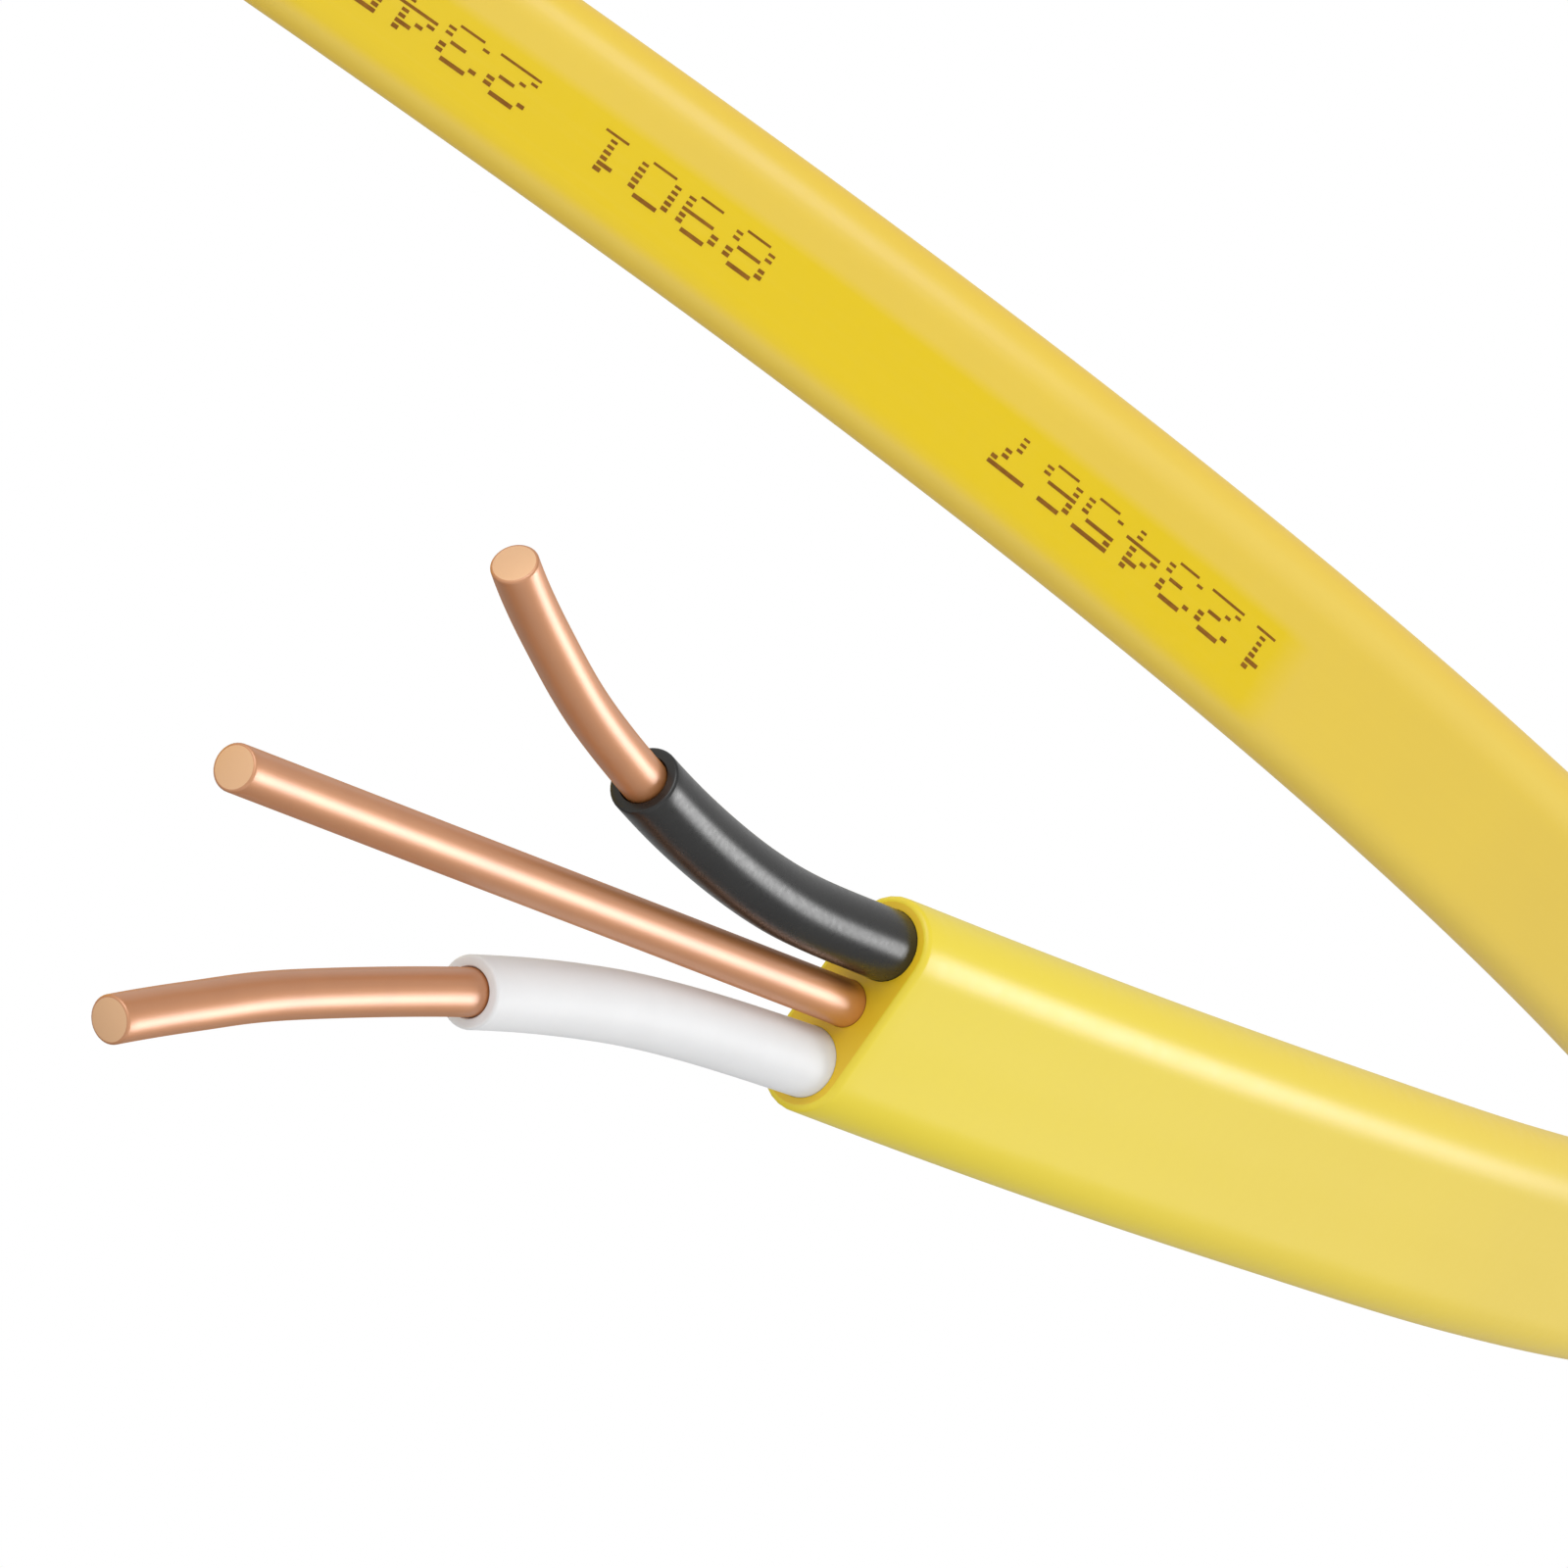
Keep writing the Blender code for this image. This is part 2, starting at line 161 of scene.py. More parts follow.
# Plain numbers printed on the face that looks into the loop, upside down there
PRINT_TEXT = "1234567     8901 2345678"
PRINT_START = 204.6 * MM
PRINT_PITCH = 3.2 * MM
PRINT_DOT_PITCH = 0.55 * MM
PRINT_DASH = 0.42 * MM
PRINT_DASH_SPREAD = (0.9, 1.1)
PRINT_LAST_ROW = 6
PRINT_LAST_COLUMN = 4
PRINT_ROW_PITCH = 0.335 * MM
PRINT_ROW_THIN = 0.14 * MM
PRINT_ROW_THICK = 0.24 * MM
PRINT_DROP = 0.42 * MM
PRINT_HEIGHT = 0.015 * MM
PRINT_DEPTH = 0.03 * MM
PRINT_BAND_START = 202.4 * MM
PRINT_BAND_LOW = 8.25 * MM
PRINT_BAND_HIGH = 13.4 * MM
PRINT_BAND_SOFTNESS = 0.3 * MM
PRINT_BAND_START_SOFTNESS = 4 * PRINT_BAND_SOFTNESS
DIGIT_DOTS = {
    "0": ".###. #...# #...# #...# #...# #...# .###.",
    "1": "..#.. .##.. ..#.. ..#.. ..#.. ..#.. .###.",
    "2": ".###. #...# ....# ..##. .#... #.... #####",
    "3": ".###. #...# ....# ..##. ....# #...# .###.",
    "4": "...#. ..##. .#.#. #..#. ##### ...#. ...#.",
    "5": "##### #.... ####. ....# ....# #...# .###.",
    "6": ".###. #.... #.... ####. #...# #...# .###.",
    "7": "##### ....# ...#. ...#. ..#.. ..#.. ..#..",
    "8": ".###. #...# #...# .###. #...# #...# .###.",
    "9": ".###. #...# #...# .#### ....# ....# .###.",
}

# The light tent: direction, cosines where a light starts and is full, and its strength
TENT_LIGHTS = (
    ((0.0, 0.0, 1.0), -2.0, -1.5, 0.33),
    ((0.0, -1.0, 0.1), -0.25, 0.55, 0.40),
    ((0.0, 0.0, 1.0), -0.6, 0.6, 0.10),
    ((0.0, -0.45, -0.9), 0.0, 0.8, 0.25),
    ((-0.2, 0.9, 0.35), 0.0, 0.9, 0.62),
    ((0.85, -0.45, 0.0), 0.0, 0.9, 0.46),
    ((-0.90, -0.36, 0.25), 0.25, 0.9, 0.36),
    ((0.92, 0.37, 0.015), math.cos(math.radians(17)), math.cos(math.radians(6)), 9.5),
    ((-0.24, -0.64, 0.73), math.cos(math.radians(26)), math.cos(math.radians(10)), 3.2),
)
REFLECTED_DIMMING = 0.22

# The photographer's view
CAMERA_PLACE = Vector((133.74, -843.91, 126.07)) * MM
CAMERA_AIM = Vector((114.86, -74.5, 19.15)) * MM
CAMERA_ROLL = 25.35
CAMERA_LENS = 427.5
CAMERA_SENSOR_WIDTH = 36.0
CAMERA_REACH = 20.0
FLOOR_HALF_SIZE = 3.0
FLOOR_DROP = 0.02 * MM


def polar(radius, degrees):
    angle = math.radians(degrees)
    return Vector((radius * math.cos(angle), radius * math.sin(angle), 0.0))


def smoothstep(value):
    share = min(1.0, max(0.0, value))
    return share * share * (3 - 2 * share)


def smooth_curve(points, step):
    """Points about one step apart on a smooth curve through the given points."""
    before = 3 * points[0] - 3 * points[1] + points[2]
    after = 3 * points[-1] - 3 * points[-2] + points[-3]
    padded = [before, *points, after]
    curve = []
    for a, b, c, d in zip(padded, padded[1:], padded[2:], padded[3:]):
        pieces = max(1, round((c - b).length / step))
        for index in range(pieces):
            t = index / pieces
            curve.append(0.5 * (2 * b + (c - a) * t + (2 * a - 5 * b + 4 * c - d) * t ** 2
                                + (3 * b - a - 3 * c + d) * t ** 3))
    curve.append(points[-1])
    return curve


def lengths_along(path):
    travelled = [0.0]
    for a, b in zip(path, path[1:]):
        travelled.append(travelled[-1] + (b - a).length)
    return travelled


def tangents(path, closed=False):
    count = len(path)
    made = []
    for index in range(count):
        ahead = path[(index + 1) % count] if closed else path[min(index + 1, count - 1)]
        behind = path[index - 1] if closed else path[max(index - 1, 0)]
        made.append((ahead - behind).normalized())
    return made


def finish_object(name, mesh_data, shader):
    bmesh.ops.recalc_face_normals(mesh_data, faces=mesh_data.faces)
    mesh = bpy.data.meshes.new(name)
    mesh_data.to_mesh(mesh)
    mesh_data.free()
    mesh.shade_smooth()
    mesh.set_sharp_from_angle(angle=SHARP_ANGLE)
    mesh.materials.append(shader)
    obj = bpy.data.objects.new(name, mesh)
    bpy.context.scene.collection.objects.link(obj)
    return obj


def cut_away(obj, cutter):
    """Takes the cutter's shape out of the object, and the cutter out of the scene."""
    hole = obj.modifiers.new("hole", "BOOLEAN")
    hole.operation = "DIFFERENCE"
    hole.object = cutter
    bpy.context.view_layer.update()
    graph = bpy.context.evaluated_depsgraph_get()
    made = bpy.data.meshes.new_from_object(obj.evaluated_get(graph))
    obj.modifiers.clear()
    obj.data = made
    made.shade_smooth()
    made.set_sharp_from_angle(angle=SHARP_ANGLE)
    bpy.data.objects.remove(cutter, do_unlink=True)


def loft(name, rings, lengths, arounds, shader, closed=False):
    """A skin over rings of points, with its length and its way round as UV, in metres.

    Its end faces have UVs far below zero, so that a material can tell them.
    """
    shape = bmesh.new()
    uv_layer = shape.loops.layers.uv.new("along_around")
    made = [[shape.verts.new(point) for point in ring] for ring in rings]
    if closed:
        made.append(made[0])
        lengths = [*lengths, lengths[-1]]
    count = len(rings[0])
    for index, (near, far) in enumerate(zip(made, made[1:])):
        for place in range(count):
            following = (place + 1) % count
            face = shape.faces.new((near[place], near[following], far[following], far[place]))
            corners = ((index, place), (index, place + 1), (index + 1, place + 1),
                       (index + 1, place))
            for corner, (ring, step) in zip(face.loops, corners):
                corner[uv_layer].uv = (lengths[ring], arounds[step])
    if not closed:
        for ring, at in ((made[0], lengths[0]), (made[-1], lengths[-1])):
            cap = shape.faces.new(ring)
            for corner in cap.loops:
                corner[uv_layer].uv = (at, corner.vert.co.z - END_FACE_UV)
    return finish_object(name, shape, shader)


def jacket_section(inset, arc_steps, flat_steps):
    """The jacket's outline, slightly waisted between its wires, as sideways and up."""
    radius = EDGE_RADIUS - inset
    outline = []
    for sign in (1, -1):
        for step in range(arc_steps + 1):
            angle = math.pi * step / arc_steps
            outline.append((sign * radius * math.cos(angle),
                            sign * (FLAT_HALF + radius * math.sin(angle))))
        for step in range(1, flat_steps):
            height = FLAT_HALF * (1 - 2 * step / flat_steps)
            wave = 0.5 - 0.5 * math.cos(2 * math.pi * height / WIRE_SPACING)
            outline.append((-sign * (radius - WAIST_DEPTH * wave), sign * height))
    return outline


def around_section(outline):
    total = [0.0]
    for a, b in zip(outline, outline[1:] + outline[:1]):
        total.append(total[-1] + math.dist(a, b))
    return total


def place_sections(path, ups, sections):
    """Sections set square to a path, each given sideways and up."""
    rings = []
    for point, tangent, up, section in zip(path, tangents(path), ups, sections):
        raised = (up - up.dot(tangent) * tangent).normalized()
        across = tangent.cross(raised)
        rings.append([point + across * u + raised * v for u, v in section])
    return rings


def tail_route():
    """Places on the tail's centre line, from the cut end to where it lies on the coil."""
    route = [Vector((x * MM, y * MM, FLOOR_REST_HEIGHT + rise * MM))
             for x, y, rise in TAIL_ROUTE]
    axis = DEPARTURE_POINT - polar(HUG_RADIUS, DEPARTURE_ANGLE) + UP * TOP_TURN_HEIGHT
    for index in range(HUG_STEPS + 1):
        degrees = DEPARTURE_ANGLE + TAIL_HUG_ANGLE * index / HUG_STEPS
        route.append(axis + polar(HUG_RADIUS, degrees))
    return route


def tail_ups(path):
    """The cable's width direction: leaning with the loop, upright against the coil."""
    ups = []
    for travelled in lengths_along(path):
        share = (LEAN_END - travelled) / (LEAN_END - LEAN_START)
        lean = math.radians(TAIL_LEAN) * min(1.0, max(0.0, share))
        ups.append(Vector((math.sin(lean), 0.0, math.cos(lean))))
    return ups


def cut_frame(route, up):
    """Axes at the cut end: out of the cable, sideways, and across its width."""
    out = (3 * route[0] - 4 * route[1] + route[2]).normalized()
    raised = (up - up.dot(out) * out).normalized()
    side = raised.cross(out)
    made = Matrix((out, side, raised)).transposed().to_4x4()
    made.translation = route[0]
    return made


def wire_path(cut, height, bend):
    inside = [Vector((-depth, 0.0, height))
              for depth in (SOCKET_DEPTH - PIECE_GAP, SOCKET_DEPTH / 2, 0.0)]
    outside = [Vector((out * MM, side * MM, height + up * MM)) for out, side, up in bend]
    return smooth_curve([cut @ point for point in inside + outside], WIRE_STEP)


def point_along(path, lengths, distance):
    """The point at a distance along a path, and the path's direction there."""
    for index in range(1, len(path)):
        if lengths[index] >= distance or index == len(path) - 1:
            span = lengths[index] - lengths[index - 1]
            share = (distance - lengths[index - 1]) / span
            point = path[index - 1].lerp(path[index], share)
            return point, (path[index] - path[index - 1]).normalized()


def round_piece(name, path, profile, shader, cut):
    """A round body along a path, from a profile of distance and radius."""
    lengths = lengths_along(path)
    raised = cut.col[2].xyz
    turns = [2 * math.pi * index / WIRE_SIDES for index in range(WIRE_SIDES)]
    rings = []
    for distance, radius in profile:
        point, tangent = point_along(path, lengths, distance)
        upright = (raised - raised.dot(tangent) * tangent).normalized()
        across = tangent.cross(upright)
        rings.append([point + (across * math.cos(turn) + upright * math.sin(turn)) * radius
                      for turn in turns])
    arounds = [COPPER_DIAMETER / 2 * turn for turn in turns] + [COPPER_DIAMETER * math.pi]
    return loft(name, rings, [distance for distance, _ in profile], arounds, shader)


def straight_run(start, end, radius, step):
    count = max(1, round((end - start) / step))
    return [(start + (end - start) * index / count, radius) for index in range(count + 1)]


def rounded_rim(at, radius, rim):
    """Profile points that turn from a wall over a small rim, towards the axis."""
    made = []
    for step in range(1, WIRE_RIM_STEPS + 1):
        angle = math.pi / 2 * step / WIRE_RIM_STEPS
        made.append((at - rim + rim * math.sin(angle), radius - rim * (1 - math.cos(angle))))
    return made


def make_wire(name, path, shader, cut):
    """Solid copper with its sheared tip slightly rounded."""
    length = lengths_along(path)[-1]
    radius = COPPER_DIAMETER / 2
    profile = straight_run(0.0, length - WIRE_TIP_RIM, radius, WIRE_STEP)
    profile += rounded_rim(length, radius, WIRE_TIP_RIM)
    return round_piece(name, path, profile, shader, cut)


def make_insulation(name, path, strip_length, shader, cut):
    """A tube of insulation with a rounded rim, open to its wire."""
    outer = INSULATED_DIAMETER / 2
    inner = COPPER_DIAMETER / 2 + INSULATION_BORE_ROOM
    end = SOCKET_DEPTH + strip_length
    profile = straight_run(0.0, end - INSULATION_RIM, outer, WIRE_STEP)
    profile += rounded_rim(end, outer, INSULATION_RIM)
    profile += [(end, inner + INSULATION_RIM * BORE_EDGE_WIDTH_SHARE),
                (end - INSULATION_RIM * BORE_EDGE_DEPTH_SHARE, inner),
                (end - INSULATION_BORE_DEPTH, inner)]
    return round_piece(name, path, profile, shader, cut)


def make_tail(path, ups, shader):
    """The loose end of the jacket, with a rounded rim at the cut."""
    first_step = (path[1] - path[0]).length
    points, uprights, sections = [], [], []
    for step in range(RIM_STEPS, 0, -1):
        angle = math.pi / 2 * step / RIM_STEPS
        forward = RIM_RADIUS * (1 - math.sin(angle))
        inset = RIM_RADIUS * (1 - math.cos(angle))
        points.append(path[0].lerp(path[1], forward / first_step))
        uprights.append(ups[0])
        sections.append(jacket_section(inset, TAIL_ARC_STEPS, TAIL_FLAT_STEPS))
    plain = jacket_section(0.0, TAIL_ARC_STEPS, TAIL_FLAT_STEPS)
    points += [path[0].lerp(path[1], RIM_RADIUS / first_step), *path[1:]]
    uprights += ups
    sections += [plain] * len(path)
    rings = place_sections(points, uprights, sections)
    return loft("cable_tail", rings, lengths_along(points), around_section(plain), shader)


def cut_sockets(jacket, cut):
    """Blind holes in the cut end for the three wires."""
    for height, diameter in ((WIRE_SPACING, INSULATED_DIAMETER), (0.0, COPPER_DIAMETER),
                             (-WIRE_SPACING, INSULATED_DIAMETER)):
        shape = bmesh.new()
        length = SOCKET_DEPTH + SOCKET_CUTTER_REACH
        radius = diameter / 2 + SOCKET_ROOM
        bmesh.ops.create_cone(shape, cap_ends=True, segments=WIRE_SIDES, depth=length,
                              radius1=radius, radius2=radius)
        cutter = finish_object("socket_cutter", shape, jacket.data.materials[0])
        place = cut @ Matrix.Translation((SOCKET_CUTTER_REACH - length / 2, 0.0, height))
        cutter.matrix_world = place @ Matrix.Rotation(math.pi / 2, 4, "Y")
        cut_away(jacket, cutter)


def dot_runs(dots):
    """Start and length of each unbroken run of dots in one row of a number."""
    runs = []
    for column, dot in enumerate(dots):
        if dot != "#":
            continue
        if runs and sum(runs[-1]) == column:
            runs[-1] = (runs[-1][0], runs[-1][1] + 1)
        else:
            runs.append((column, 1))
    return runs


def make_print(path, ups, shader):
    """Thin dashes of ink that follow the jacket, one for each run of dots in a number."""
    lengths = lengths_along(path)
    headings = tangents(path)
    shape = bmesh.new()
    for place, character in enumerate(PRINT_TEXT):
        if character == " ":
            continue
        for row, dots in enumerate(DIGIT_DOTS[character].split()):
            thinner = (PRINT_ROW_THIN - PRINT_ROW_THICK) * row / PRINT_LAST_ROW
            thickness = PRINT_ROW_THICK + thinner
            height = (row - PRINT_LAST_ROW / 2) * PRINT_ROW_PITCH - PRINT_DROP
            for column, count in dot_runs(dots):
                middle = column + (count - 1) / 2 - PRINT_LAST_COLUMN / 2
                at = PRINT_START + PRINT_PITCH * place + PRINT_DOT_PITCH * middle
                index = next(i for i, length in enumerate(lengths) if length > at) - 1
                share = (at - lengths[index]) / (lengths[index + 1] - lengths[index])
                centre = path[index].lerp(path[index + 1], share)
                along = headings[index].lerp(headings[index + 1], share).normalized()
                up = ups[index].lerp(ups[index + 1], share)
                up = (up - up.dot(along) * along).normalized()
                inward = up.cross(along)
                centre += inward * (EDGE_RADIUS + PRINT_HEIGHT - PRINT_DEPTH / 2) + up * height
                dash = PRINT_DOT_PITCH * (count - 1) + PRINT_DASH * RANDOM.uniform(*PRINT_DASH_SPREAD)
                size = Matrix.Diagonal((dash, PRINT_DEPTH, thickness, 1.0))
                turn = Matrix((along, inward, up)).transposed().to_4x4()
                bmesh.ops.create_cube(shape, size=1.0,
                                      matrix=Matrix.Translation(centre) @ turn @ size)
    return finish_object("cable_print", shape, shader)


def wound_path():
    """Centre line of the wound turns, from the inner end to where the tail begins.

    Each layer is wound from one end of the coil to the other. A turn steps sideways by one
    width at its layer's crossing, and the last turn of a layer climbs onto the next layer
    just before it would meet that crossing, so the crossings walk backwards round the coil.
    """
    full = 360.0
    climb = full * TURNS_ACROSS * LAYERS
    events = [(climb, "climb", 1)]
    direction = 1
    for layer in range(LAYERS, 0, -1):
        crossing = climb + CROSSING_ANGLE
        for back in range(1, TURNS_ACROSS):
            events.append((crossing - full * back, "cross", direction))
        first_crossing = crossing - full * (TURNS_ACROSS - 1)
        climb = first_crossing + CROSSING_ANGLE - full
        if layer > 1:
            events.append((climb, "climb", layer))
        direction = -direction
    start = climb + CROSSING_ANGLE / 2
    end = events[0][0] + CROSSING_ANGLE / 2
    seat = HUG_RADIUS - (COIL_OUTER_RADIUS - EDGE_RADIUS)
    points = []
    travelled = start
    while travelled < end:
        points.append(travelled)
        travelled += math.degrees(WOUND_STEP / COIL_OUTER_RADIUS)
    points += [end, end + math.degrees(WOUND_OVERLAP / HUG_RADIUS)]
    path = []
    for angle in points:
        radius = HUG_RADIUS
        height = TOP_TURN_HEIGHT
        for centre, kind, amount in events:
            left = 1 - smoothstep((angle - centre) / CROSSING_ANGLE + 0.5)
            if kind == "cross":
                height -= amount * TURN_PITCH * left
            else:
                radius -= (seat if centre == events[0][0] else LAYER_PITCH) * left
        direction_angle = DEPARTURE_ANGLE + TAIL_HUG_ANGLE + end - angle
        path.append(COIL_CENTRE + polar(radius, direction_angle) + UP * height)
    return path


def make_wound(path, tail_length, shader):
    """The wound turns, with the tail's length and way round carried on in their UVs."""
    section = jacket_section(0.0, WOUND_ARC_STEPS, WOUND_FLAT_STEPS)
    inwards = path[::-1]
    rings = place_sections(inwards, [UP] * len(path), [section] * len(path))
    lengths = [tail_length + length for length in lengths_along(inwards)]
    return loft("wound_cable", rings, lengths, around_section(section), shader)


def make_core_ends(path, copper, black, white):
    """The wires seen in the cable's cut inner end, flush with the jacket."""
    heading = (path[0] - path[1]).normalized()
    end = Matrix((heading, UP.cross(heading), UP)).transposed().to_4x4()
    end.translation = path[0]
    made = []
    cover = (INSULATED_DIAMETER / 2, INNER_END_COVER_REACH)
    bare = (COPPER_DIAMETER / 2, INNER_END_COPPER_REACH)
    for name, height, (radius, reach), shader in (
            ("inner_end_black_cover", WIRE_SPACING, cover, black),
            ("inner_end_white_cover", -WIRE_SPACING, cover, white),
            ("inner_end_black_copper", WIRE_SPACING, bare, copper),
            ("inner_end_ground_copper", 0.0, bare, copper),
            ("inner_end_white_copper", -WIRE_SPACING, bare, copper)):
        line = [end @ Vector((place, 0.0, height)) for place in (-INNER_END_DEPTH, 0.0, reach)]
        length = lengths_along(line)[-1]
        profile = [(0.0, radius), (length - INNER_END_RIM, radius),
                   (length, radius - INNER_END_RIM)]
        made.append(round_piece(name, line, profile, shader, end))
    return made


def join(name, pieces):
    """One object from several, kept where they stand."""
    bpy.context.view_layer.update()
    shape = bmesh.new()
    for piece in pieces:
        part = piece.data.copy()
        part.transform(piece.matrix_world)
        shape.from_mesh(part)
        bpy.data.meshes.remove(part)
    shader = pieces[0].data.materials[0]
    for piece in pieces:
        bpy.data.objects.remove(piece, do_unlink=True)
    return finish_object(name, shape, shader)


def strap_section():
    """A strap with rounded edges and a shallow channel along each face."""
    half_width, half_thickness = TIE_WIDTH / 2, TIE_THICKNESS / 2
    quarter = []
    for step in range(TIE_EDGE_STEPS + 1):
        angle = math.pi / 2 * step / TIE_EDGE_STEPS
        quarter.append((half_width - TIE_EDGE_RADIUS * (1 - math.cos(angle)),
                        half_thickness - TIE_EDGE_RADIUS * (1 - math.sin(angle))))
    channel = TIE_CHANNEL_WIDTH / 2
    quarter += [(channel + TIE_CHANNEL_DEPTH, half_thickness),
                (channel, half_thickness - TIE_CHANNEL_DEPTH)]
    upper = quarter + [(-u, v) for u, v in reversed(quarter)]
    return upper + [(-u, -v) for u, v in upper]


def rounded_loop(corners, radius):
    """A closed outline with an arc at each corner."""
    outline = []
    count = len(corners)
    for index, corner in enumerate(corners):
        to_last = (corners[index - 1] - corner).normalized()
        to_next = (corners[(index + 1) % count] - corner).normalized()
        half_turn = to_last.angle(to_next) / 2
        reach = radius / math.tan(half_turn)
        centre = corner + (to_last + to_next).normalized() * (radius / math.sin(half_turn))
        start = corner + to_last * reach - centre
        end = corner + to_next * reach - centre
        for step in range(TIE_CORNER_STEPS + 1):
            turned = start.slerp(end, step / TIE_CORNER_STEPS)
            outline.append(centre + turned.normalized() * radius)
    return outline


def rounded_box(name, size, rounding, shader):
    shape = bmesh.new()
    bmesh.ops.create_cube(shape, size=1.0)
    bmesh.ops.scale(shape, vec=size, verts=shape.verts)
    bmesh.ops.bevel(shape, geom=shape.edges[:], offset=rounding, segments=TIE_ROUNDING_STEPS,
                    profile=0.5, affect="EDGES", clamp_overlap=True)
    return finish_object(name, shape, shader)


def make_tie(number, degrees, round_tail, shader):
    """A strap round the coil's section, with its slotted head and cut stub outside."""
    across = Vector((0.0, 1.0, 0.0))
    reach = PIECE_GAP + TIE_THICKNESS / 2
    inner = COIL_INNER_RADIUS - reach
    outer = COIL_OUTER_RADIUS + reach
    low = TIE_THICKNESS / 2
    high = COIL_HIGH.z + reach
    corners = [(inner, low), (outer, low)]
    if round_tail:
        swelling = HUG_RADIUS + EDGE_RADIUS + reach
        tail_low = TOP_TURN_HEIGHT - FLAT_HALF - EDGE_RADIUS
        corners += [(outer, tail_low - TIE_RAMP_HEIGHT), (swelling, tail_low), (swelling, high)]
    else:
        corners += [(outer, high)]
    corners += [(inner, high)]
    loop = rounded_loop([Vector((r, 0.0, z)) for r, z in corners], TIE_CORNER_RADIUS)
    section = strap_section()
    ups = [tangent.cross(across) for tangent in tangents(loop, closed=True)]
    rings = []
    for point, up in zip(loop, ups):
        rings.append([point + across * u + up * v for u, v in section])
    strap = loft(f"tie_{number}_strap", rings, lengths_along(loop), around_section(section),
                 shader, closed=True)

    head_height = COIL_LOW.z + TURN_PITCH * TIE_HEAD_TURNS_UP
    face = outer - TIE_THICKNESS / 2 + TIE_HEAD_SEAT
    stub_place = face + TIE_HEAD_DEPTH * TIE_STUB_DEPTH_SHARE
    head = rounded_box(f"tie_{number}_head", (TIE_HEAD_DEPTH, TIE_HEAD_WIDTH, TIE_HEAD_LENGTH),
                       TIE_HEAD_ROUNDING, shader)
    head.location = (face + TIE_HEAD_DEPTH / 2, 0.0, head_height)
    slot = rounded_box("tie_slot", (TIE_THICKNESS + 2 * TIE_SLOT_ROOM,
                                    TIE_WIDTH + 2 * TIE_SLOT_ROOM, 2 * TIE_HEAD_LENGTH),
                       TIE_EDGE_RADIUS, shader)
    slot.location = (stub_place, 0.0, head_height)
    cut_away(head, slot)

    top = head_height + TIE_HEAD_LENGTH / 2 - PIECE_GAP
    stub_line = [Vector((stub_place, 0.0, top - TIE_HEAD_LENGTH - TIE_STUB_LENGTH)),
                 Vector((stub_place, 0.0, top))]
    outward = Vector((1.0, 0.0, 0.0))
    rings = []
    for point in stub_line:
        rings.append([point + across * u + outward * v for u, v in section])
    stub = loft(f"tie_{number}_stub", rings, lengths_along(stub_line), around_section(section),
                shader)
    for piece in (strap, head, stub):
        piece.matrix_world = (Matrix.Translation(COIL_CENTRE)
                              @ Matrix.Rotation(math.radians(degrees), 4, "Z")
                              @ piece.matrix_world)
    return join(f"tie_{number}", [strap, head, stub])


class Nodes:
    """A short way to write a material's nodes."""

    def __init__(self, name):
        self.material = bpy.data.materials.new(name)
        self.material.use_nodes = True
        self.tree = self.material.node_tree
        self.shader = self.tree.nodes["Principled BSDF"]

    def add(self, kind, values=(), **settings):
        node = self.tree.nodes.new("ShaderNode" + kind)
        for key, value in settings.items():
            setattr(node, key, value)
        for key, value in dict(values).items():
            self.put(value, node.inputs[key])
        return node

    def put(self, value, socket):
        if isinstance(value, bpy.types.NodeSocket):
            self.tree.links.new(value, socket)
        else:
            socket.default_value = value

    def set(self, **values):
        for key, value in values.items():
            self.put(value, self.shader.inputs[key.replace("_", " ")])

    def noise(self, vector, scale, detail, roughness=0.5):
        made = self.add("TexNoise", {"Vector": vector, "Scale": scale, "Detail": detail,
                                     "Roughness": roughness})
        return made.outputs["Fac"]

    def ranged(self, value, low, high, to_low=0.0, to_high=1.0):
        made = self.add("MapRange", {"Value": value, "From Min": low, "From Max": high,
                                     "To Min": to_low, "To Max": to_high})
        return made.outputs["Result"]

    def blend(self, share, first, second):
        made = self.add("Mix", data_type="RGBA")
        for socket, value in zip((made.inputs[0], made.inputs[6], made.inputs[7]),
                                 (share, first, second)):
            self.put(value, socket)
        return made.outputs[2]

    def combine(self, operation, first, second):
        made = self.add("Math", {0: first, 1: second}, operation=operation)
        return made.outputs[0]

    def bump(self, height, distance, strength, normal=None):
        values = {"Height": height, "Distance": distance, "Strength": strength}
        if normal is not None:
            values["Normal"] = normal
        return self.add("Bump", values).outputs["Normal"]

    def scaled_uv(self, along, around):
        coordinates = self.add("TexCoord").outputs["UV"]
        scale = self.add("Mapping", {"Vector": coordinates, "Scale": (along, around, 1.0)})
        return scale.outputs["Vector"]

    def along_around(self):
        coordinates = self.add("TexCoord").outputs["UV"]
        parts = self.add("SeparateXYZ", {"Vector": coordinates}).outputs
        return parts["X"], parts["Y"]

    def place(self):
        return self.add("NewGeometry").outputs["Position"]


def linear(red, green, blue):
    """Linear colour from the sRGB numbers of a colour seen in the photograph."""
    made = []
    for value in (red, green, blue):
        share = value / 255
        made.append(share / 12.92 if share <= 0.04045 else ((share + 0.055) / 1.055) ** 2.4)
    return (*made, 1.0)


